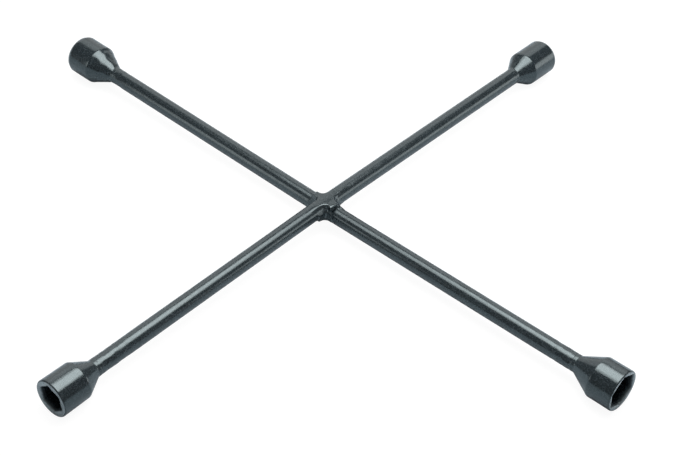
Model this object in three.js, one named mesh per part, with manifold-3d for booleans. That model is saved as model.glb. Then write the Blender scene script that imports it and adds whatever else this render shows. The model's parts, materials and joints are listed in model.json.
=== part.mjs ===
// Four-way lug wrench, in millimetres, +Z up, lying with its four sockets on the plane z = 0.
//
// Two round steel bars cross at right angles: the upper bar runs along Y and the lower bar along X.
// Both are notched where they cross and lie in one another's notch, and each is pressed flat there into
// a pad, with two ears that reach out over the other bar. Weld fills the four corners between the arms.
// A forged hexagon socket is butt-welded to each of the four bar ends. The lap leaves the bars at two
// heights, so each arm slopes a little to bring its socket to the plane.

import * as THREE from "three";
import { mergeVertices } from "three/addons/utils/BufferGeometryUtils.js";
import Module from "manifold-3d";

const wasm = await Module();
wasm.setup();

// ---- driving dimensions ----
const INCH = 25.4;
const ARM = 254; // from the crossing to each socket's mouth: the wrench is 20 inches across
const BAR_R = 6.15;
const GAP = 0.3; // left between neighbouring pieces

const LAP_Z = 14.6; // height of the face where the two notches meet
const LAP_OFFSET = 4.3; // height between the two bars' axes
const PAD_HEIGHT = 7.8; // from the lap face to each flat pad
const PAD_HALF_WIDTH = 2.9;
const PAD_REACH = 9.8; // how far a pad's ears reach out over the other bar
const FLAT_REACH = 9.5; // how far a pad runs along its own bar
const FLAT_RUNOUT = 5; // over which the pad's face meets the top of the round bar

const SHOULDER_ROUND = 1.5;
const NECK_FILLET = 3;
const MOUTH_CHAMFER = { radial: 0.85, axial: 1.7 };
const HEX_DEPTH = 17.5;
const HEX_LEAD_IN = 0.8;
const DRILL_POINT = { radius: 6.5, depth: 3.5 };
const WELD_GROOVE = { root: 3.6, halfWidth: 1.4 };
const BEAD = { root: 4.2, rootHalfWidth: 0.1, halfWidth: 1.2, proud: 0.12 };

const BAR_SIDES = 36;
const SOCKET_SIDES = 48;
const DRILL_SIDES = 24;

// One socket on each arm, with the direction of its arm in the XY plane. The clock angle turns its
// hexagon about the arm. A socket flares by a little from its shoulder to its mouth, where it has its
// full radius.
const SOCKETS = [
  {
    size: "11_16",
    acrossFlats: (11 / 16) * INCH,
    heading: -90,
    clock: 20,
    radius: 13.6,
    flare: 0.3,
    body: 22.0,
    cone: 14.5,
  },
  {
    size: "3_4",
    acrossFlats: (3 / 4) * INCH,
    heading: 90,
    clock: 12,
    radius: 13.25,
    flare: 0,
    body: 25.5,
    cone: 13.5,
  },
  {
    size: "13_16",
    acrossFlats: (13 / 16) * INCH,
    heading: 180,
    clock: 40,
    radius: 14.6,
    flare: 0,
    body: 21.4,
    cone: 18.6,
  },
  {
    size: "7_8",
    acrossFlats: (7 / 8) * INCH,
    heading: 0,
    clock: 25,
    radius: 14.75,
    flare: 0.1,
    body: 18.4,
    cone: 17.6,
  },
];

// The four corners between the arms, anticlockwise, with the radius of the hollow in each pad's outline
// and the radius of the weld's hollow face outside it.
const CORNERS = [
  { side: "right", x: 1, y: 1, padHollow: 4.0, weldHollow: 4.5 },
  { side: "rear", x: -1, y: 1, padHollow: 5.4, weldHollow: 6.5 },
  { side: "left", x: -1, y: -1, padHollow: 3.0, weldHollow: 4.0 },
  { side: "front", x: 1, y: -1, padHollow: 5.4, weldHollow: 8.5 },
];
const CORNER_WELD = { halfHeight: 5.6, bevel: 2.2, bevelHeight: 2.6 };

const BAR_PAINT = new THREE.MeshStandardMaterial({ color: 0x3d484c, roughness: 0.4, metalness: 0.25 });
const SOCKET_PAINT = new THREE.MeshStandardMaterial({ color: 0x404b50, roughness: 0.3, metalness: 0.25 });
const WELD_PAINT = new THREE.MeshStandardMaterial({ color: 0x343b3f, roughness: 0.6, metalness: 0.2 });

// ---- solids ----
const rad = THREE.MathUtils.degToRad;

function solid(geometry) {
  const bare = geometry.index ? geometry.toNonIndexed() : geometry;
  const points = new THREE.BufferGeometry().setAttribute("position", bare.getAttribute("position"));
  const merged = mergeVertices(points, 1e-4);
  return new wasm.Manifold(
    new wasm.Mesh({
      numProp: 3,
      vertProperties: merged.attributes.position.array,
      triVerts: new Uint32Array(merged.index.array),
    }),
  );
}

function geometryOf(body) {
  const mesh = body.getMesh();
  const geometry = new THREE.BufferGeometry();
  geometry.setAttribute("position", new THREE.BufferAttribute(mesh.vertProperties, 3));
  geometry.setIndex(new THREE.BufferAttribute(mesh.triVerts, 1));
  geometry.computeVertexNormals();
  return geometry;
}

// A turned body about the X axis, from its profile of [x, radius] points, with its first side at the
// start angle.
function turned(profile, sides, start = 0) {
  const outline = profile.map(([x, radius]) => new THREE.Vector2(radius, x));
  return new THREE.LatheGeometry(outline, sides, start).rotateZ(-Math.PI / 2);
}

// A flat plate between two heights, from its outline in the XY plane.
function plate(outline, bottom, top) {
  const shape = new THREE.Shape(outline);
  const slab = new THREE.ExtrudeGeometry(shape, { depth: top - bottom, bevelEnabled: false });
  return slab.translate(0, 0, bottom);
}

// Points along an arc from one angle to another, in degrees.
function arc(centre, radius, from, to, steps = 8) {
  return Array.from({ length: steps + 1 }, (_, k) => {
    const angle = rad(from + ((to - from) * k) / steps);
    return new THREE.Vector2(centre[0] + radius * Math.cos(angle), centre[1] + radius * Math.sin(angle));
  });
}

// ---- how an arm lies ----
const alongY = (socket) => Math.abs(socket.heading) === 90;
const axisHeight = (upper) => LAP_Z + (upper ? LAP_OFFSET : -LAP_OFFSET) / 2;
const neckOf = (socket) => ARM - socket.body - socket.cone;

// The angle by which an arm rises, which brings its socket to the plane z = 0: a falling arm's socket
// touches it with the edge of its mouth, and a rising one's with its shoulder.
function riseOf(socket) {
  const height = axisHeight(alongY(socket));
  const falls = height > socket.radius;
  const x = falls ? ARM - MOUTH_CHAMFER.axial : ARM - socket.body + SHOULDER_ROUND;
  const radius = falls ? socket.radius : socket.radius - socket.flare;
  return Math.atan2(radius, x) - Math.asin(height / Math.hypot(x, radius));
}

// The place of an arm. Its own X axis runs out from the crossing along the bar.
function armFrame(socket) {
  const frame = new THREE.Group();
  frame.rotation.set(0, -riseOf(socket), rad(socket.heading), "ZYX");
  frame.position.z = axisHeight(alongY(socket));
  frame.updateMatrix();
  return frame;
}

// ---- bars ----
// Half a bar, from just past the crossing to the welded end, which is bevelled for the weld.
function halfBar(socket, clearance) {
  const end = neckOf(socket) - GAP / 2;
  const radius = BAR_R + clearance;
  const profile = [
    [-BAR_R, 0],
    [-BAR_R, radius],
    [end - WELD_GROOVE.halfWidth, radius],
    [end, WELD_GROOVE.root],
    [end, 0],
  ];
  return solid(turned(profile, BAR_SIDES).applyMatrix4(armFrame(socket).matrix));
}

// The pads' outline: a cross with hollow corners, whose ears along X end square.
function padOutline(clearance) {
  const halfWidth = PAD_HALF_WIDTH + clearance;
  const reach = PAD_REACH + clearance;
  return CORNERS.flatMap(({ x, y, padHollow }, k) => {
    const centre = [x * (PAD_HALF_WIDTH + padHollow), y * (PAD_HALF_WIDTH + padHollow)];
    const hollow = arc(centre, padHollow - clearance, 270 + 90 * k, 180 + 90 * k);
    const earCorner = new THREE.Vector2(x * reach, y * halfWidth);
    return k % 2 === 0 ? [earCorner, ...hollow] : [...hollow, earCorner];
  });
}

// Cuts the round top off a bar where its pad lies, and runs out along the bar.
function flatCutter() {
  const far = FLAT_REACH + FLAT_RUNOUT;
  const outline = [
    [-far, PAD_HEIGHT + 1],
    [-FLAT_REACH, PAD_HEIGHT],
    [FLAT_REACH, PAD_HEIGHT],
    [far, PAD_HEIGHT + 1],
  ].map(([x, y]) => new THREE.Vector2(x, y));
  const block = plate(outline, -BAR_R, BAR_R).rotateX(Math.PI / 2).rotateZ(Math.PI / 2);
  return solid(block.translate(0, 0, LAP_Z));
}

// A block over the crossing that reaches down from the lap face, to cut the upper bar's notch.
function notchCutter(clearance) {
  const top = GAP / 2 - clearance;
  const depth = 2 * BAR_R;
  const along = 2 * (PAD_REACH + GAP - clearance);
  const across = 4 * BAR_R;
  return solid(new THREE.BoxGeometry(across, along, depth).translate(0, 0, LAP_Z + top - depth / 2));
}

// A whole bar. The clearance makes it larger all round, to cut its place in a neighbour.
// The lower bar's crossing is the upper one's turned over about the line X = Y at the lap face.
function bar(upper, clearance = 0) {
  const [first, second] = SOCKETS.filter((socket) => alongY(socket) === upper);
  const padPlate = plate(padOutline(clearance), GAP / 2 - clearance, PAD_HEIGHT + clearance);
  const pad = solid(padPlate.translate(0, 0, LAP_Z));
  const turnOver = (body) => {
    if (upper) return body;
    const flipped = geometryOf(body).translate(0, 0, -LAP_Z);
    const axis = new THREE.Vector3(1, 1, 0).normalize();
    flipped.applyMatrix4(new THREE.Matrix4().makeRotationAxis(axis, Math.PI));
    return solid(flipped.translate(0, 0, LAP_Z));
  };
  return halfBar(first, clearance)
    .add(halfBar(second, clearance))
    .subtract(turnOver(notchCutter(clearance)))
    .subtract(turnOver(flatCutter()))
    .add(turnOver(pad));
}

// ---- welds ----
// The weld in one corner between two arms, hollow outside, bevelled above and below, and cut to fit
// both bars.
function cornerWeld({ x, y, weldHollow }, index) {
  const middle = BAR_R + weldHollow;
  const hollow = arc([x * middle, y * middle], weldHollow, 270 + 90 * index, 180 + 90 * index);
  const overBars = [
    new THREE.Vector2(x, y * middle),
    new THREE.Vector2(x, y),
    new THREE.Vector2(x * middle, y),
  ];
  const outline = [...(index % 2 === 0 ? overBars : overBars.reverse()), ...hollow];
  const geometry = new THREE.ExtrudeGeometry(new THREE.Shape(outline), {
    depth: 2 * (CORNER_WELD.halfHeight - CORNER_WELD.bevelHeight),
    bevelThickness: CORNER_WELD.bevelHeight,
    bevelSize: CORNER_WELD.bevel,
    bevelOffset: -CORNER_WELD.bevel,
    bevelSegments: 3,
  });
  const bottom = LAP_Z - CORNER_WELD.halfHeight + CORNER_WELD.bevelHeight;
  return solid(geometry.translate(0, 0, bottom)).subtract(bar(true, GAP)).subtract(bar(false, GAP));
}

// The ring of weld between a bar and its socket, in the arm's own frame.
function neckWeld(socket) {
  const outer = BAR_R + BEAD.proud;
  const profile = [
    [-BEAD.halfWidth, outer],
    [BEAD.halfWidth, outer],
    [BEAD.rootHalfWidth, BEAD.root],
    [-BEAD.rootHalfWidth, BEAD.root],
    [-BEAD.halfWidth, outer],
  ];
  return turned(profile, BAR_SIDES).translate(neckOf(socket), 0, 0);
}

// ---- sockets ----
// The hexagon hole, with its lead-in and the point that the drill left at its floor.
function hexagonHole(socket) {
  const corner = socket.acrossFlats / Math.sqrt(3);
  const floor = ARM - HEX_DEPTH;
  const past = 1;
  const profile = [
    [floor, 0],
    [floor, corner],
    [ARM - HEX_LEAD_IN, corner],
    [ARM + past, corner + HEX_LEAD_IN + past],
    [ARM + past, 0],
  ];
  const point = [
    [floor - DRILL_POINT.depth, 0],
    [floor, DRILL_POINT.radius],
    [floor + past, DRILL_POINT.radius],
    [floor + past, 0],
  ];
  return solid(turned(profile, 6, rad(90 - socket.clock))).add(solid(turned(point, DRILL_SIDES)));
}

function socketBody(socket) {
  const neck = neckOf(socket) + GAP / 2;
  const shoulder = ARM - socket.body;
  const shoulderR = socket.radius - socket.flare;
  const slope = (shoulderR - BAR_R) / socket.cone;
  const profile = [
    [neck, 0],
    [neck, WELD_GROOVE.root],
    [neck + WELD_GROOVE.halfWidth, BAR_R],
    [neck + NECK_FILLET, BAR_R + (slope * NECK_FILLET) / 2],
    [shoulder - SHOULDER_ROUND, shoulderR - slope * SHOULDER_ROUND],
    [shoulder + SHOULDER_ROUND, shoulderR],
    [ARM - MOUTH_CHAMFER.axial, socket.radius],
    [ARM, socket.radius - MOUTH_CHAMFER.radial],
    [ARM, 0],
  ];
  return solid(turned(profile, SOCKET_SIDES)).subtract(hexagonHole(socket));
}

// ---- assembly ----
function mesh(name, geometry, material) {
  const part = new THREE.Mesh(geometry, material);
  part.name = name;
  return part;
}

const wrench = new THREE.Group();
wrench.add(mesh("upper_bar", geometryOf(bar(true)), BAR_PAINT));
wrench.add(mesh("lower_bar", geometryOf(bar(false)), BAR_PAINT));
CORNERS.forEach((corner, k) => {
  wrench.add(mesh(`corner_weld_${corner.side}`, geometryOf(cornerWeld(corner, k)), WELD_PAINT));
});
for (const socket of SOCKETS) {
  const arm = armFrame(socket);
  arm.add(mesh(`socket_${socket.size}_inch`, geometryOf(socketBody(socket)), SOCKET_PAINT));
  arm.add(mesh(`neck_weld_${socket.size}_inch`, neckWeld(socket), WELD_PAINT));
  wrench.add(arm);
}

export default wrench;
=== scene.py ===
import json
import math

import bmesh
import bpy
import numpy as np
from mathutils import Matrix, Vector, noise


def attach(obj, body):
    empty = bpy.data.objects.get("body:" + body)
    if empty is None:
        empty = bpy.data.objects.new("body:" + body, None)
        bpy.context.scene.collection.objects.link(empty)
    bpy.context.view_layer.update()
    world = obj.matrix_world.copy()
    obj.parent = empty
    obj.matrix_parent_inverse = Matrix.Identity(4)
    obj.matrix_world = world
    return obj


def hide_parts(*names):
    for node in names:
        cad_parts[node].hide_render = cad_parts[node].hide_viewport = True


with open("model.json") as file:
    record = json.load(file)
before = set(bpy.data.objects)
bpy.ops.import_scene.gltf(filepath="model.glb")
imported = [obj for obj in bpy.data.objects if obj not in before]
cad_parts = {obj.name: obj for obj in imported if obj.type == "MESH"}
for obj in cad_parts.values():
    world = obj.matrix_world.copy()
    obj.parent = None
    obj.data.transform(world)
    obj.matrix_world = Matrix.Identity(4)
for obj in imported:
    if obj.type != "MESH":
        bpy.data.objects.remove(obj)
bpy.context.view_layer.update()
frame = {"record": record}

MM = 0.001  # every shape below is worked out in millimetres and built in metres

# ---- the wrench's driving dimensions, in millimetres, as in the CAD ----
INCH = 25.4
ARM = 254.0  # from the crossing to each socket's mouth
BAR_R = 6.15
LAP_Z = 14.6  # height of the face where the two notches meet
LAP_OFFSET = 4.3  # height between the two bars' axes
PAD_HEIGHT = 7.8  # from the lap face to each flat pad
PAD_HALF_WIDTH = 2.9
PAD_REACH = 9.8  # from the crossing to the end of each ear
HEX_DEPTH = 17.5

# ---- what the visual model adds at the crossing, in millimetres ----
BEND = 4.0  # the bars' slight bend at the crossing is rounded over about this length
CROSSING_REACH = 40  # further out a bar is plainly round
BAR_SEARCH = 14  # a bar and its pad lie within this distance of its axis
NOTCH_REACH = 8.4  # from the crossing to the end of a notch
SEAM_REACH = 10.3  # the lower bar's notch shows as a dark seam past the ear on its +X side
NOTCH_CLEARANCE = 0.05  # from the lap face to each notch's floor
NOTCH_STEP = 0.01  # a bar's rings go into the notch within this much of its end
FLAT_REACH = 8.0  # a bar's flat runs this far along it, then rises out of it at this slope
FLAT_SLOPE = 0.05
FLARE_START, FLARE_END = 6.0, 9.0  # between these distances an ear widens
LOWER_EAR = 3.3  # the greatest half width of the lower bar's ears
EAR_FACET = dict(point=(8.8, -3.6), normal=(0.38, -0.22, 0.9))  # where the +X ear's end is beaten down
FACET_RUN = 3  # the facet stops sloping this far past its point towards -Y
UPPER_PAD_BOTTOM, LOWER_PAD_BOTTOM = -1, 0.8  # height of each pad's underside over the lap face
PAD_FADE_START, PAD_FADE_END = 10, 32  # between these distances a pad sinks into its round bar
PAD_FADE_DEPTH = 3  # and by this much
# Widths of the rounded edges: of the flat along the bar, of the ears' ends, of a pad's underside and facet,
# and of each pad's face. The +X ear's face has a sharper edge. BLEND is the hollow between a pad and its bar.
FLAT_ROUND = 0.7
EAR_END_ROUND = 0.6
UNDERSIDE_ROUND = 0.5
UPPER_PAD_ROUND, LOWER_PAD_ROUND = 1.7, 2.0
SHARPER_EAR, SHARPER_START, SHARPER_END = 0.6, 6, 8
BLEND = 1.5

# The corners between the arms: half width of the upper bar's ear there, how much its end flares, radius of
# the hollow between ear and bar, radius of the weld, and the weld's two ends as angles about the corner,
# in degrees.
CORNERS = {
    "front": dict(x=1, y=-1, ear=4.5, flare=1.0, hollow=6.5, fillet=6.2, ends=(-66, 28), seed=3.1),
    "right": dict(x=1, y=1, ear=1.6, flare=0.0, hollow=8.0, fillet=5.2, ends=(-60, 58), seed=11.7),
    "rear": dict(x=-1, y=1, ear=1.2, flare=0.3, hollow=6.5, fillet=5.0, ends=(-58, 58), seed=23.9),
    "left": dict(x=-1, y=-1, ear=4.4, flare=0.0, hollow=2.5, fillet=2.4, ends=(-58, 58), seed=37.3),
}
WELD_CENTRE = 1.6  # a weld is worked out from a point on the lap face, this far from both axes in plan
WELD_SEARCH = 26  # and lies within this distance of that point
WELD_TURN, WELD_TILT = 80, 78  # its patch covers these angles to each side, in degrees
PAD_FILLET = 3.4  # the largest weld that stays off the pads' faces
LEAST_FILLET = 0.01
LOW_FADE, HIGH_FADE = (8, 12), (10, 12)  # a weld fades over these angles outside and inside its two ends
CLEAR_START, CLEAR_END = -0.3, 1.6  # a weld has its full size from this far past a pad's outline
HALF_LAP = 3  # the two bars' outlines take turns over this height above and below the lap face
WELD_COVER = 0.06  # a weld runs this deep under the bars' skins
WELD_SINK = 1.1  # and this much deeper where it ends
WELD_LUMP, WELD_ROUGH = 2.2, 0.1  # size and height of its lumps
WELD_PROUD = 1.2  # the lumps have their full height where the weld stands this far out of the bars

# ---- the sockets and necks, in millimetres ----
# Each socket's hexagon, radius, flare, lengths of body and cone, heading and the hexagon's clock angle are as
# in the CAD. chamfer is the mouth's, across and along the axis. lump and dent are the size and depth of the
# waves in the cone, and necking rounds the cone into the bar. dressed is how far along the bar the weld at
# the neck was ground.
SOCKETS = {
    "11_16": dict(
        flats=11 / 16 * INCH, r=13.6, flare=0.3, body=22.0, cone=14.5, heading=-90, clock=20,
        chamfer=(0.35, 0.7), lump=9, dent=0.05, necking=9, dressed=42,
    ),
    "3_4": dict(
        flats=3 / 4 * INCH, r=13.25, flare=0.0, body=25.5, cone=13.5, heading=90, clock=12,
        chamfer=(0.85, 1.7), lump=6, dent=0.1, necking=12, dressed=14,
    ),
    "13_16": dict(
        flats=13 / 16 * INCH, r=14.6, flare=0.0, body=21.4, cone=18.6, heading=180, clock=40,
        chamfer=(1.3, 2.6), lump=4.5, dent=0.22, necking=9, dressed=14,
    ),
    "7_8": dict(
        flats=7 / 8 * INCH, r=14.75, flare=0.1, body=18.4, cone=17.6, heading=0, clock=25,
        chamfer=(0.35, 0.7), lump=9, dent=0.05, necking=9, dressed=26,
    ),
}
MOUTH = ARM - 0.02  # the worn rim lies a little inside the CAD's
RIM_FACE = 0.45  # the outline ends this far in on the rim's flat face
SHOULDER_ROUND, CHAMFER_ROUND, RIM_ROUND = 3.0, 1.0, 0.4
# How much wider than the hexagon its mouth is, at depths below the rim.
LEAD_IN = ((0.0, 0.8), (0.12, 0.62), (0.4, 0.46), (0.9, 0.3), (1.6, 0.14), (2.2, 0.04), (2.8, 0.0))
WALL_START, WALL_RINGS = 3.6, 15  # the hexagon's plain wall, from this depth down to its floor
DRILL_POINT = ((6.5, 0.0), (3.5, 1.6), (0.6, 3.3))  # in the floor: radius, and depth below it
FORGED_LUMP, FORGED_WAVE = 11, 0.035  # size and height of the waves all over a socket
DRAWN_LUMP, DRAWN_WAVE = 9, 0.03  # of the waves along a bar
GROUND_LUMP, GROUND_WAVE = 4.5, 0.18  # and of the waves where it was ground
GROUND_DEEPER = 0.4  # the grinding cut hollows more than it left ridges
GROUND_REACH = 44  # a bar's rings are closer together within this distance of its neck
NECK_GAP = 0.1  # a socket starts, and its weld is centred, this far past the bar's end
CONE_START = 1.4  # the cone starts this far past the bar's end
# Section of the weld round a neck, dressed almost flush: along the arm, and out from the bar's surface.
NECK_SECTION = (
    (-1.9, -0.15),
    (-1.5, -0.03),
    (-0.8, 0),
    (0, 0.015),
    (0.8, 0),
    (1.5, -0.03),
    (1.9, -0.15),
    (0, -1.5),
)
RIPPLE_LUMP, RIPPLE = 1.6, 0.05  # size and height of the ripples in its skin
SKIN_DEPTH = -0.1  # the section's points above this are its skin

BAR_SIDES, SOCKET_SIDES, NECK_SIDES = 200, 144, 128
WELD_COLUMNS, WELD_ROWS = 180, 140


# ---- the arms ----
def arm_axis(size):
    """The outward direction of an arm, from the mount in its socket's mouth."""
    mounts = {m["name"]: m for m in frame["record"]["mounts"]}
    return np.array(mounts[f"mouth_{size}_inch"]["axis"])


def on_upper_bar(size):
    return abs(SOCKETS[size]["heading"]) == 90


def arm_frame(size):
    """The arm's own axes as rows, x outward along the bar and z up, and its origin at the crossing."""
    u = arm_axis(size)
    u = u / np.linalg.norm(u)
    side = np.cross([0, 0, 1], u)
    side = side / np.linalg.norm(side)
    origin = np.array([0, 0, LAP_Z + (LAP_OFFSET if on_upper_bar(size) else -LAP_OFFSET) / 2])
    return np.array([u, side, np.cross(u, side)]), origin


def neck_of(size):
    """Distance from the crossing to the end of a bar, where its socket's neck starts."""
    return ARM - SOCKETS[size]["body"] - SOCKETS[size]["cone"]


def sockets_of(upper):
    """The sizes of the sockets at a bar's + end and at its - end."""
    return ("3_4", "11_16") if upper else ("7_8", "13_16")


def falls(upper):
    """How far the two arms of a bar bend towards the other bar, at the + end and at the - end."""
    sign = -1 if upper else 1
    return [sign * math.asin(arm_axis(s)[2] / np.linalg.norm(arm_axis(s))) for s in sockets_of(upper)]


def axis_height(along, upper):
    """Distance from the lap face to a bar's axis, at places along the bar."""
    fall = np.where(along > 0, *[math.tan(a) for a in falls(upper)])
    return LAP_OFFSET / 2 - fall * (np.hypot(along, BEND) - BEND)


# ---- mesh helpers ----
def grid_faces(rows, columns, close_rows=False):
    """Quads over a grid of points whose columns close into loops."""
    faces = []
    for i in range(rows if close_rows else rows - 1):
        for j in range(columns):
            a = i * columns + j
            b = i * columns + (j + 1) % columns
            up = ((i + 1) % rows) * columns
            faces.append((a, b, up + (j + 1) % columns, up + j))
    return faces


def patch_faces(rows, columns):
    """Quads over an open grid of points, and a fan from its rim to one more point behind it."""
    faces = []
    for i in range(rows - 1):
        for j in range(columns - 1):
            a = i * columns + j
            faces.append((a, a + 1, a + columns + 1, a + columns))
    rim = list(range(columns))
    rim += [i * columns + columns - 1 for i in range(1, rows)]
    rim += [(rows - 1) * columns + j for j in range(columns - 2, -1, -1)]
    rim += [i * columns for i in range(rows - 2, 0, -1)]
    behind = rows * columns
    faces += [(behind, rim[(k + 1) % len(rim)], rim[k]) for k in range(len(rim))]
    return faces


def loft(rings):
    """Points and faces of a closed surface through loops of points, with a fan over each end."""
    rows, columns = rings.shape[:2]
    points = np.vstack([rings.reshape(-1, 3), rings[0].mean(0), rings[-1].mean(0)])
    faces = grid_faces(rows, columns)
    first, last = rows * columns, rows * columns + 1
    top = (rows - 1) * columns
    for j in range(columns):
        k = (j + 1) % columns
        faces.append((first, k, j))
        faces.append((last, top + j, top + k))
    return points, faces


def build(name, points, faces, material, sharp=35):
    """A smooth-shaded piece that rides on the root body and stands for the CAD node of the same name."""
    mesh = bpy.data.meshes.new(name)
    mesh.from_pydata([tuple(p) for p in np.asarray(points) * MM], [], faces)
    bm = bmesh.new()
    bm.from_mesh(mesh)
    bmesh.ops.recalc_face_normals(bm, faces=bm.faces)
    bm.to_mesh(mesh)
    bm.free()
    mesh.polygons.foreach_set("use_smooth", [True] * len(mesh.polygons))
    mesh.set_sharp_from_angle(angle=math.radians(sharp))
    mesh.materials.append(material)
    piece = bpy.data.objects.new(name, mesh)
    bpy.context.scene.collection.objects.link(piece)
    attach(piece, "root")
    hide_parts(name)
    return piece


def lumps(points, scale, seed=0.0, octaves=3):
    """Smooth noise from about -1 to 1 at each point, over lumps of about the given size in millimetres."""
    shift = Vector((seed, seed * 0.37, -seed))
    return np.array([noise.fractal(Vector(p) / scale + shift, 0.8, 2.0, octaves) for p in points])


# ---- distances, negative inside ----
def smooth_min(p, q, k):
    """The union of two shapes, blended where their distances differ by less than k."""
    h = np.clip(0.5 + 0.5 * (q - p) / k, 0, 1)
    return q * (1 - h) + p * h - k * h * (1 - h)


def smooth_max(p, q, k):
    """What two shapes have in common, with its edge rounded over k."""
    return -smooth_min(-p, -q, k)


def fillet_join(p, q, r):
    """The union of two shapes with a hollow round of radius r between them."""
    return np.maximum(r, np.minimum(p, q)) - np.hypot(np.maximum(r - p, 0), np.maximum(r - q, 0))


def smooth_step(start, end, value):
    """0 up to start and 1 from end on, with a smooth slope between."""
    t = np.clip((value - start) / (end - start), 0, 1)
    return t * t * (3 - 2 * t)


def reach(distance, starts, directions, far, step=0.2):
    """How far along each ray the surface lies, where the rays start inside the shape."""
    low = np.zeros(directions.shape[:-1])
    still_inside = np.ones(low.shape, bool)
    for r in np.arange(step, far, step):
        inside = distance(*np.moveaxis(starts + directions * r, -1, 0)) < 0
        low = np.where(still_inside & inside, r, low)
        still_inside &= inside
    high = low + step
    for _ in range(12):
        middle = (low + high) / 2
        inside = distance(*np.moveaxis(starts + directions * middle[..., None], -1, 0)) < 0
        low, high = np.where(inside, middle, low), np.where(inside, high, middle)
    return low


# ---- the forged crossing ----
def by_corner(x, y, key):
    """A corner's value at each point of the plan."""
    value = np.zeros(np.broadcast(x, y).shape)
    for corner in CORNERS.values():
        value = np.where((x * corner["x"] >= 0) & (y * corner["y"] >= 0), corner[key], value)
    return value


def pad_outline(x, y, upper):
    """Distance to a bar's pad in plan: a strip along the bar crossed by two ears, with hollow corners."""
    along, across = (y, x) if upper else (x, y)
    ear = by_corner(x, y, "ear")
    if upper:
        ear = ear + by_corner(x, y, "flare") * smooth_step(FLARE_START, FLARE_END, np.abs(across))
    else:
        ear = np.minimum(ear, LOWER_EAR)
    return fillet_join(np.abs(across) - PAD_HALF_WIDTH, np.abs(along) - ear, by_corner(x, y, "hollow"))


def pad(x, y, height, upper):
    """Distance to a bar's pad: a slab of the pad's outline that sinks into the bar away from the crossing."""
    along, across = (y, x) if upper else (x, y)
    outline = smooth_max(pad_outline(x, y, upper), np.abs(across) - PAD_REACH, EAR_END_ROUND)
    if upper:
        edge = UPPER_PAD_ROUND - SHARPER_EAR * smooth_step(SHARPER_START, SHARPER_END, across)
    else:
        edge = LOWER_PAD_ROUND
    bottom = (UPPER_PAD_BOTTOM if upper else LOWER_PAD_BOTTOM) - height
    slab = smooth_max(smooth_max(outline, height - PAD_HEIGHT, edge), bottom, UNDERSIDE_ROUND)
    if upper:
        (px, py), (nx, ny, nz) = EAR_FACET["point"], EAR_FACET["normal"]
        facet = nx * (x - px) + ny * np.maximum(y - py, -FACET_RUN) + nz * (height - PAD_HEIGHT)
        slab = smooth_max(slab, facet, UNDERSIDE_ROUND)
    return slab + PAD_FADE_DEPTH * smooth_step(PAD_FADE_START, PAD_FADE_END, np.abs(along))


def forging(x, y, z, upper, notched=True):
    """A bar's distance near the crossing: round, flattened, and with a pad that reaches out as two ears."""
    along, across = (y, x) if upper else (x, y)
    height = (z - LAP_Z) * (1 if upper else -1)
    tube = np.hypot(across, height - axis_height(along, upper)) - BAR_R
    flat = height - PAD_HEIGHT - FLAT_SLOPE * np.maximum(np.abs(along) - FLAT_REACH, 0)
    tube = smooth_max(tube, flat, FLAT_ROUND)
    body = smooth_min(tube, pad(x, y, height, upper), BLEND)
    if not notched:
        return body
    end = NOTCH_REACH if upper else np.where(along > 0, SEAM_REACH, NOTCH_REACH)
    notch = np.maximum(height - NOTCH_CLEARANCE, np.abs(along) - end)
    return np.maximum(body, -notch)


# ---- materials ----
ENAMEL = (0.0095, 0.0148, 0.018)
DUST = (0.06, 0.072, 0.08)
# The next pale colour is worn paint on a socket mouth's rim, and painted light on the hexagon's walls just
# inside the mouth.
RUBBED_AND_LIT_PAINT = (0.27, 0.31, 0.33)
ENAMEL_IOR = 1.7
ENAMEL_TINT = (0.84, 0.98, 1, 1)
DRAWING_MARKS, TURNING_MARKS = 0.000004, 0.000003  # heights of the marks in the metal, in metres
PEEL, GRAIN = 0.000012, 0.000014  # heights of the paint's orange peel and of its finest grain, in metres
COARSE_PEEL, COARSE_GRAIN = 0.00008, 0.00004  # what weld metal adds to them where rough is 1
PAINTED_LIGHT_DEPTH = 5  # how far painted light runs down a hexagon from its mouth, fading into painted shade deeper in, in millimetres
RIM_WEAR_END, RIM_WEAR_START = 1.4, 0.3  # depths between which the rim's own wear comes up
RIM_INSET = 0.7  # the outermost ring of the rim keeps its paint
RIM_FADE = 0.2


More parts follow.
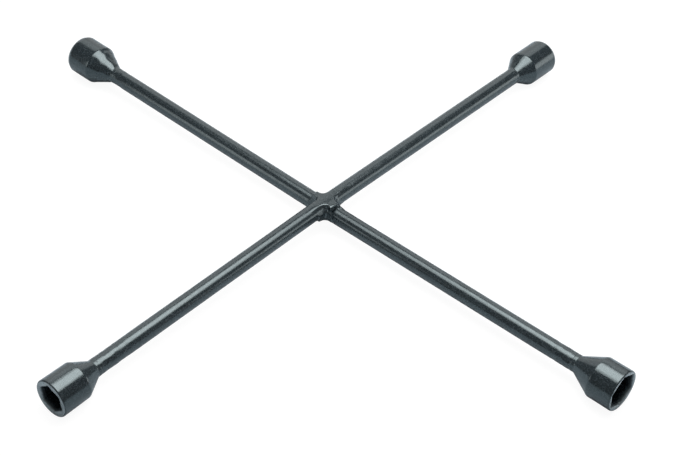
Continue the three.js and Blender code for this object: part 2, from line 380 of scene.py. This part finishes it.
class Nodes:
    """A material's node tree, with short ways to add and join nodes."""

    def __init__(self, name):
        self.material = bpy.data.materials.new(name)
        self.material.use_nodes = True
        self.tree = self.material.node_tree
        self.tree.nodes.clear()
        self.output = self.add("ShaderNodeOutputMaterial")
        self.coordinates = self.add("ShaderNodeTexCoord").outputs["Object"]

    def add(self, kind, links=(), **settings):
        node = self.tree.nodes.new(kind)
        for key, value in settings.items():
            setattr(node, key, value)
        for socket_name, source in dict(links).items():
            if hasattr(source, "is_linked"):
                self.tree.links.new(source, node.inputs[socket_name])
            else:
                node.inputs[socket_name].default_value = source
        return node

    def maths(self, operation, *values, vector=False):
        kind = "ShaderNodeVectorMath" if vector else "ShaderNodeMath"
        return self.add(kind, dict(enumerate(values)), operation=operation)

    def noise(self, scale, detail=4.0, stretch=(1, 1, 1), roughness=0.55):
        mapping = self.add("ShaderNodeMapping", {"Vector": self.coordinates, "Scale": stretch})
        links = {"Vector": mapping.outputs[0], "Scale": scale, "Detail": detail, "Roughness": roughness}
        return self.add("ShaderNodeTexNoise", links).outputs["Fac"]

    def ramp(self, value, low, high, out_low, out_high):
        links = {"Value": value, "From Min": low, "From Max": high, "To Min": out_low, "To Max": out_high}
        return self.add("ShaderNodeMapRange", links).outputs["Result"]

    def mix(self, factor, a, b):
        node = self.add("ShaderNodeMix", data_type="RGBA")
        for index, value in ((0, factor), (6, a), (7, b)):
            if hasattr(value, "is_linked"):
                self.tree.links.new(value, node.inputs[index])
            else:
                node.inputs[index].default_value = value if index == 0 else (*value, 1)
        return node.outputs[2]

    def bump(self, height, distance, normal=None):
        links = {"Height": height, "Distance": distance, "Strength": 1.0}
        if normal is not None:
            links["Normal"] = normal
        return self.add("ShaderNodeBump", links).outputs["Normal"]

    def shade(self, kind, links):
        """Sends a shader to the material's surface, and returns the material."""
        shader = self.add(kind, links)
        self.tree.links.new(shader.outputs[0], self.output.inputs["Surface"])
        return self.material

    def mouth_wear_and_painted_light(self, size):
        """About 1 on the worn rim of a socket's mouth; inside it, painted light that fades down the hexagon
        to 0 as painted shade; 0 outside.
        """
        axes, origin = arm_frame(size)
        place = self.maths("SUBTRACT", self.coordinates, origin * MM, vector=True).outputs[0]
        along = self.maths("DOT_PRODUCT", place, axes[0], vector=True).outputs["Value"]
        aside = self.maths("CROSS_PRODUCT", place, axes[0], vector=True).outputs[0]
        radius = self.maths("LENGTH", aside, vector=True).outputs["Value"]
        depth = self.ramp(along, (ARM - PAINTED_LIGHT_DEPTH) * MM, ARM * MM, 0, 1)
        rim = (SOCKETS[size]["r"] - RIM_INSET) * MM
        inside = self.ramp(radius, rim - RIM_FADE * MM, rim, 1, 0)
        ragged = self.ramp(self.noise(500, 3), 0.3, 0.7, 0.75, 1.1)
        # painted light near the mouth, fading to painted shade deeper down the hexagon
        near = self.maths("POWER", depth, 1.8).outputs[0]
        edge = self.ramp(along, (ARM - RIM_WEAR_END) * MM, (ARM - RIM_WEAR_START) * MM, 0, 0.7)
        either = self.maths("MULTIPLY_ADD", near, 0.3, edge).outputs[0]
        worn = self.maths("MULTIPLY", either, inside).outputs[0]
        return self.maths("MULTIPLY", worn, ragged).outputs[0]


def enamel(name, along, roughness=0.2, rough=0.0, marks=DRAWING_MARKS, mouth=None):
    """Semi-gloss blue-black enamel. along is the stretch of the marks that lie with or round the bar.

    rough is how coarse the metal under it is, and marks is the height of the marks. mouth is a socket's size:
    its paint is worn thin on the mouth's rim, and the hexagon's walls get painted light near the mouth that
    fades into painted shade deeper in.
    """
    n = Nodes(name)
    cloudy = n.ramp(n.noise(60, 5), 0.35, 0.65, 0, 1)
    dusty = n.ramp(n.noise(900, 4), 0.48, 0.72, 0, 0.6)
    colour = n.mix(cloudy, [c * 0.85 for c in ENAMEL], [c * 1.18 for c in ENAMEL])
    colour = n.mix(dusty, colour, DUST)
    gloss = n.ramp(n.noise(350, 5), 0.3, 0.7, roughness - 0.04, roughness + 0.07)
    if mouth:
        rubbed = n.mouth_wear_and_painted_light(mouth)
        # pale paint: worn on the rim, and painted light on the walls inside the mouth
        colour = n.mix(rubbed, colour, RUBBED_AND_LIT_PAINT)
        gloss = n.maths("ADD", gloss, n.ramp(rubbed, 0, 1, 0, 0.14)).outputs[0]
    normal = n.bump(n.noise(1.0, 3, along), marks)
    normal = n.bump(n.noise(420, 3), PEEL + rough * COARSE_PEEL, normal)
    normal = n.bump(n.noise(1400, 2), GRAIN, normal)
    if rough:
        normal = n.bump(n.noise(1500, 4), COARSE_GRAIN * rough, normal)
    paint = {"Base Color": colour, "Roughness": gloss, "Normal": normal}
    paint.update({"IOR": ENAMEL_IOR, "Specular Tint": ENAMEL_TINT})
    return n.shade("ShaderNodeBsdfPrincipled", paint)


# ---- bars ----
def spaced(*spans):
    """Stations over spans of (start, end, spacing)."""
    parts = [np.arange(start, end, step) for start, end, step in spans]
    return np.concatenate(parts + [[spans[-1][1]]])


def half_stations(end):
    """Where a bar's rings lie from the crossing out: closest at the notches' ends, and close by the neck."""
    notch, seam, step = NOTCH_REACH, SEAM_REACH, NOTCH_STEP
    return spaced(
        (0, 2.4, 0.3),
        (2.4, notch - step, 0.16),
        (notch - step, notch + step, step),
        (notch + step, seam - step, 0.16),
        (seam - step, seam + step, step),
        (seam + step, 16, 0.3),
        (16, CROSSING_REACH, 0.8),
        (CROSSING_REACH, end - GROUND_REACH, 2.0),
        (end - GROUND_REACH, end, 1.0),
    )


def bar_waves(points, stations, upper):
    """How far a bar's skin waves out of true at each point, more where the welds at its necks were ground."""
    plus, minus = sockets_of(upper)
    seed = 1.0 if upper else 5.0
    wave = DRAWN_WAVE * lumps(points, DRAWN_LUMP, seed).reshape(len(stations), -1)
    from_neck = np.where(stations > 0, neck_of(plus) - stations, neck_of(minus) + stations)
    dressed = np.where(stations > 0, SOCKETS[plus]["dressed"], SOCKETS[minus]["dressed"])
    ground = lumps(points, GROUND_LUMP, seed + 2.0, octaves=2).reshape(wave.shape)
    near = smooth_step(dressed, dressed * 0.4, from_neck)
    return wave + GROUND_WAVE * (ground - GROUND_DEEPER) * near[:, None]


def bar(upper):
    name = "upper_bar" if upper else "lower_bar"
    plus, minus = (half_stations(neck_of(size)) for size in sockets_of(upper))
    stations = np.concatenate([-minus[:0:-1], plus])
    angles = np.linspace(0, 2 * np.pi, BAR_SIDES, endpoint=False)
    centre = LAP_Z + (1 if upper else -1) * axis_height(stations, upper)
    along, across = (1, 0) if upper else (0, 1)
    starts = np.zeros((len(stations), len(angles), 3))
    starts[..., along] = stations[:, None]
    starts[..., 2] = centre[:, None]
    directions = np.zeros_like(starts)
    directions[..., across] = np.cos(angles)
    directions[..., 2] = np.sin(angles)

    def shape(x, y, z):
        return forging(x, y, z, upper)

    near = np.abs(stations) < CROSSING_REACH
    radius = np.full(starts.shape[:2], BAR_R)
    radius[near] = reach(shape, starts[near], directions[near], BAR_SEARCH)
    rings = starts + directions * radius[..., None]
    rings += directions * bar_waves(rings.reshape(-1, 3), stations, upper)[..., None]
    points, faces = loft(rings)
    stretch = (900, 30, 900) if upper else (30, 900, 900)
    build(name, points, faces, enamel(name + "_enamel", stretch))


# ---- corner welds ----
def weld_shape(corner, start, middle):
    """The distance to a corner's weld: a fillet between the two bars, which sinks into them where it ends."""
    low, high = corner["ends"]
    least = min(corner["fillet"], PAD_FILLET)

    def shape(x, y, z):
        angle = np.degrees(np.arctan2(y - start[1], x - start[0]) - middle)
        angle = (angle + 180) % 360 - 180
        size = smooth_step(low - LOW_FADE[0], low + LOW_FADE[1], angle)
        size = size * smooth_step(high + HIGH_FADE[0], high - HIGH_FADE[1], angle)
        above = smooth_step(CLEAR_START, CLEAR_END, pad_outline(x, y, True))
        below = smooth_step(CLEAR_START, CLEAR_END, pad_outline(x, y, False))
        high_up = smooth_step(-HALF_LAP, HALF_LAP, z - LAP_Z)
        clear = above * high_up + below * (1 - high_up)
        hollow = size * (least + (corner["fillet"] - least) * clear)
        under = WELD_COVER + WELD_SINK * (1 - size) ** 2
        first = forging(x, y, z, True, notched=False) + under
        second = forging(x, y, z, False, notched=False) + under
        return fillet_join(first, second, hollow + LEAST_FILLET)

    return shape


def corner_weld(side):
    corner = CORNERS[side]
    start = np.array([corner["x"] * WELD_CENTRE, corner["y"] * WELD_CENTRE, LAP_Z])
    middle = math.atan2(corner["y"], corner["x"])
    turn = np.radians(np.linspace(-WELD_TURN, WELD_TURN, WELD_COLUMNS)) + middle
    tilt = np.radians(np.linspace(-WELD_TILT, WELD_TILT, WELD_ROWS))
    turn, tilt = np.meshgrid(turn, tilt)
    directions = np.stack([np.cos(turn) * np.cos(tilt), np.sin(turn) * np.cos(tilt), np.sin(tilt)], -1)
    starts = np.broadcast_to(start, directions.shape)
    radius = reach(weld_shape(corner, start, middle), starts, directions, WELD_SEARCH)
    surface = starts + directions * radius[..., None]
    flat = surface.reshape(-1, 3)
    first = forging(*flat.T, True, notched=False)
    second = forging(*flat.T, False, notched=False)
    proud = np.clip(np.minimum(first, second) / WELD_PROUD, 0, 1).reshape(radius.shape)
    bumps = lumps(flat, WELD_LUMP, corner["seed"], 4).reshape(radius.shape)
    surface = surface + directions * (WELD_ROUGH * bumps * proud)[..., None]
    points = np.vstack([surface.reshape(-1, 3), start])
    name = f"corner_weld_{side}"
    paint = enamel(name + "_enamel", (300, 300, 300), roughness=0.28, rough=0.6)
    build(name, points, patch_faces(*radius.shape), paint)


# ---- sockets and their neck welds ----
def rounded(outline, step=0.8):
    """A polyline through (x, y, corner radius) points, with each corner rounded and long edges divided."""
    points = []
    for k, (x, y, r) in enumerate(outline):
        here = np.array([x, y], float)
        if r == 0 or k in (0, len(outline) - 1):
            points.append(here)
            continue
        before = np.array(outline[k - 1][:2], float) - here
        after = np.array(outline[k + 1][:2], float) - here
        room = 0.49 * min(np.linalg.norm(before), np.linalg.norm(after))
        before, after = before / np.linalg.norm(before), after / np.linalg.norm(after)
        half = math.acos(np.clip(before @ after, -1, 1)) / 2
        cut = min(r / math.tan(half), room)
        r = cut * math.tan(half)
        centre = here + (before + after) / np.linalg.norm(before + after) * (r / math.sin(half))
        start, end = here + before * cut - centre, here + after * cut - centre
        sweep = math.pi - 2 * half
        for t in np.linspace(0, 1, max(3, int(sweep / 0.2) + 2)):
            spoke = start * math.sin((1 - t) * sweep) + end * math.sin(t * sweep)
            points.append(centre + spoke / math.sin(sweep))
    dense = [points[0]]
    for q in points[1:]:
        p = dense[-1]
        count = max(1, int(np.linalg.norm(q - p) / step))
        dense += [p + (q - p) * (k + 1) / count for k in range(count)]
    return np.array(dense)


def hexagon(apothem, angles, clock, hardness=60):
    """Radius of a hexagon with slightly rounded corners at each angle."""
    total = np.zeros_like(angles)
    for k in range(6):
        normal = math.radians(180 - clock + 30 + 60 * k)
        total += np.maximum(np.cos(angles - normal), 0) ** hardness
    return apothem / total ** (1 / hardness)


def outside_rings(size, angles):
    """A socket's outside as (distance along the arm, radius at each angle), from its neck to its mouth."""
    s = SOCKETS[size]
    neck, shoulder = neck_of(size), ARM - s["body"]
    radial, axial = s["chamfer"]
    outline = rounded([
        (neck + NECK_GAP, BAR_R, 0),
        (neck + CONE_START, BAR_R, s["necking"]),
        (shoulder, s["r"] - s["flare"], SHOULDER_ROUND),
        (MOUTH - axial, s["r"], CHAMFER_ROUND),
        (MOUTH, s["r"] - radial, RIM_ROUND),
        (MOUTH, s["r"] - radial - RIM_FACE, 0),
    ])
    return [(x, np.full_like(angles, r)) for x, r in outline]


def inside_rings(size, angles):
    """A socket's inside in the same form, from the mouth down the hexagon to the drill point in its floor."""
    s = SOCKETS[size]
    apothem = s["flats"] / 2
    rings = [(MOUTH - depth, hexagon(apothem + wider, angles, s["clock"])) for depth, wider in LEAD_IN]
    for depth in np.linspace(WALL_START, HEX_DEPTH, WALL_RINGS):
        rings.append((ARM - depth, hexagon(apothem, angles, s["clock"])))
    for r, deeper in DRILL_POINT:
        rings.append((ARM - HEX_DEPTH - deeper, np.full_like(angles, r)))
    return rings


def socket(size):
    s = SOCKETS[size]
    neck, shoulder = neck_of(size), ARM - s["body"]
    angles = np.linspace(0, 2 * np.pi, SOCKET_SIDES, endpoint=False)
    outside = outside_rings(size, angles)
    rings = outside + inside_rings(size, angles)
    outward = np.stack([np.zeros_like(angles), np.cos(angles), np.sin(angles)], -1)
    local = np.array([np.column_stack([np.full_like(r, x), r[:, None] * outward[:, 1:]]) for x, r in rings])
    skin = local[:len(outside)]
    x, points = skin[..., 0], skin.reshape(-1, 3)
    forged = lumps(points, FORGED_LUMP, seed=s["clock"]).reshape(x.shape)
    dents = lumps(points, s["lump"], seed=s["clock"] + 5.0, octaves=1).reshape(x.shape)
    on_cone = smooth_step(neck, neck + 4, x) * smooth_step(shoulder + 1, shoulder - 2, x)
    wave = FORGED_WAVE * (forged - 1) + s["dent"] * on_cone * (dents - 1)
    local[:len(outside)] += outward * wave[..., None]
    axes, origin = arm_frame(size)
    points, faces = loft(local @ axes + origin)
    name = f"socket_{size}_inch"
    stretch = (20, 1600, 20) if on_upper_bar(size) else (1600, 20, 20)
    paint = enamel(name + "_enamel", stretch, roughness=0.16, marks=TURNING_MARKS, mouth=size)
    build(name, points, faces, paint)


def neck_weld(size):
    angles = np.linspace(0, 2 * np.pi, NECK_SIDES, endpoint=False)
    section = np.array(NECK_SECTION)
    x, r = neck_of(size) + NECK_GAP + section[:, 0], BAR_R + section[:, 1]
    rings = np.array([np.stack([x, r * math.cos(a), r * math.sin(a)], -1) for a in angles])
    seed = SOCKETS[size]["clock"] + 2.0
    ripple = RIPPLE * lumps(rings.reshape(-1, 3), RIPPLE_LUMP, seed).reshape(rings.shape[:2])
    outward = np.stack([np.zeros_like(angles), np.cos(angles), np.sin(angles)], -1)
    rings += outward[:, None, :] * (ripple * (section[:, 1] > SKIN_DEPTH))[..., None]
    axes, origin = arm_frame(size)
    points = rings.reshape(-1, 3) @ axes + origin
    faces = grid_faces(len(angles), len(section), close_rows=True)
    name = f"neck_weld_{size}_inch"
    paint = enamel(name + "_enamel", (300, 300, 300), roughness=0.26, rough=0.4)
    build(name, points, faces, paint, sharp=60)


# ---- studio, in metres ----
CAMERA = dict(
    azimuth=39.67,
    elevation=41.81,
    distance=1.226,
    roll=3.29,
    target=(0.0214, -0.0113, 0.0146),
    lens=94.4,
)
SENSOR_WIDTH = 36

# Each light: its shape, centre, the point it faces, its width and depth, and its radiance.
LIGHTS = {
    "overhead_softbox": ("RECTANGLE", (-0.018, 0.155, 0.84), (-0.018, 0.155, 0), (0.965, 0.89), 3.6),
    "softbox_core": ("ELLIPSE", (0.03, 0.15, 0.835), (0.03, 0.15, 0), (0.62, 0.62), 2.0),
    "back_panel": ("RECTANGLE", (-1.45, 1.45, 0.95), (0, 0, 0.1), (2.7, 2.2), 0.72),
    "back_panel_top": ("RECTANGLE", (-1.2, 1.2, 1.45), (0, 0, 0), (2.4, 0.9), 0.45),
    "right_card": ("RECTANGLE", (0.85, 0.95, 0.22), (0, 0.1, 0.05), (0.9, 0.44), 2.1),
    "left_card": ("RECTANGLE", (-0.62, -0.85, 0.25), (-0.1, 0, 0.02), (0.3, 0.5), 2.0),
}
# A black flag hides a corner of the overhead softbox.
FLAG_CORNERS = [(-0.02, 0.62, 0.82), (-0.53, 0.62, 0.82), (-0.53, 0.11, 0.82)]
BLACK = (0.01, 0.01, 0.01, 1)

# The floor and the world are paler to the camera than they are in reflections on the wrench.
WORLD_LIGHT, WORLD_SEEN = 0.16, 0.9
FLOOR_DARKER, FLOOR_LIGHTER = (0.50, 0.57, 0.62), (0.53, 0.60, 0.65)
FLOOR_SEEN, FLOOR_LIFT = (0.1, 0.1, 0.1), 0.93
FLOOR_HALF = 4.0  # half the floor's side


def add_camera():
    a, e, roll = (math.radians(CAMERA[k]) for k in ("azimuth", "elevation", "roll"))
    back = Vector((math.sin(a) * math.cos(e), -math.cos(a) * math.cos(e), math.sin(e)))
    right = Vector((math.cos(a), math.sin(a), 0))
    up = back.cross(right)
    right, up = right * math.cos(roll) + up * math.sin(roll), up * math.cos(roll) - right * math.sin(roll)
    data = bpy.data.cameras.new("camera")
    data.lens = CAMERA["lens"]
    data.sensor_width = SENSOR_WIDTH
    camera = bpy.data.objects.new("camera", data)
    turn = Matrix((right, up, back)).transposed().to_4x4()
    camera.matrix_world = Matrix.Translation(Vector(CAMERA["target"]) + back * CAMERA["distance"]) @ turn
    bpy.context.scene.collection.objects.link(camera)
    bpy.context.scene.camera = camera


def add_light(name, shape, centre, towards, size, radiance):
    """An area light, with the power that gives a rectangle of its size the radiance; 1 shows as white."""
    width, depth = size
    data = bpy.data.lights.new(name, "AREA")
    data.shape = shape
    data.size, data.size_y = width, depth
    data.energy = radiance * math.pi * width * depth
    light = bpy.data.objects.new(name, data)
    light.location = centre
    light.rotation_mode = "QUATERNION"
    light.rotation_quaternion = (Vector(towards) - Vector(centre)).to_track_quat("-Z", "Y")
    light.visible_camera = False
    bpy.context.scene.collection.objects.link(light)


def staged(name, corners, material):
    """A flat polygon that belongs to the studio, not to the wrench."""
    mesh = bpy.data.meshes.new(name)
    mesh.from_pydata(corners, [], [tuple(range(len(corners)))])
    mesh.materials.append(material)
    thing = bpy.data.objects.new(name, mesh)
    bpy.context.scene.collection.objects.link(thing)
    return thing


def add_world():
    world = bpy.data.worlds.new("studio")
    bpy.context.scene.world = world
    world.use_nodes = True
    tree = world.node_tree
    seen = tree.nodes.new("ShaderNodeLightPath").outputs["Is Camera Ray"]
    level = tree.nodes.new("ShaderNodeMapRange")
    level.inputs["To Min"].default_value = WORLD_LIGHT
    level.inputs["To Max"].default_value = WORLD_SEEN
    tree.links.new(seen, level.inputs["Value"])
    background = tree.nodes["Background"]
    tree.links.new(level.outputs["Result"], background.inputs["Strength"])
    background.inputs["Color"].default_value = (1, 1, 1, 1)


def add_floor():
    n = Nodes("pale_floor")
    reflected = n.mix(n.ramp(n.noise(3, 3), 0.3, 0.7, 0, 1), FLOOR_DARKER, FLOOR_LIGHTER)
    seen = n.add("ShaderNodeLightPath").outputs["Is Camera Ray"]
    colour = n.mix(seen, reflected, FLOOR_SEEN)
    lift = n.ramp(seen, 0, 1, 0, FLOOR_LIFT)
    matt = {"Base Color": colour, "Roughness": 0.6, "Specular IOR Level": 0.1}
    matt.update({"Emission Color": (1, 1, 1, 1), "Emission Strength": lift})
    material = n.shade("ShaderNodeBsdfPrincipled", matt)
    a = FLOOR_HALF
    staged("floor", [(-a, -a, 0), (a, -a, 0), (a, a, 0), (-a, a, 0)], material)


def add_studio():
    for name, light in LIGHTS.items():
        add_light(name, *light)
    flag = Nodes("black_flag").shade("ShaderNodeBsdfDiffuse", {"Color": BLACK})
    staged("softbox_flag", FLAG_CORNERS, flag).visible_camera = False
    add_world()
    add_floor()


bpy.context.scene.view_settings.view_transform = "Standard"
add_camera()
add_studio()
bar(True)
bar(False)
for side in CORNERS:
    corner_weld(side)
for size in SOCKETS:
    socket(size)
    neck_weld(size)
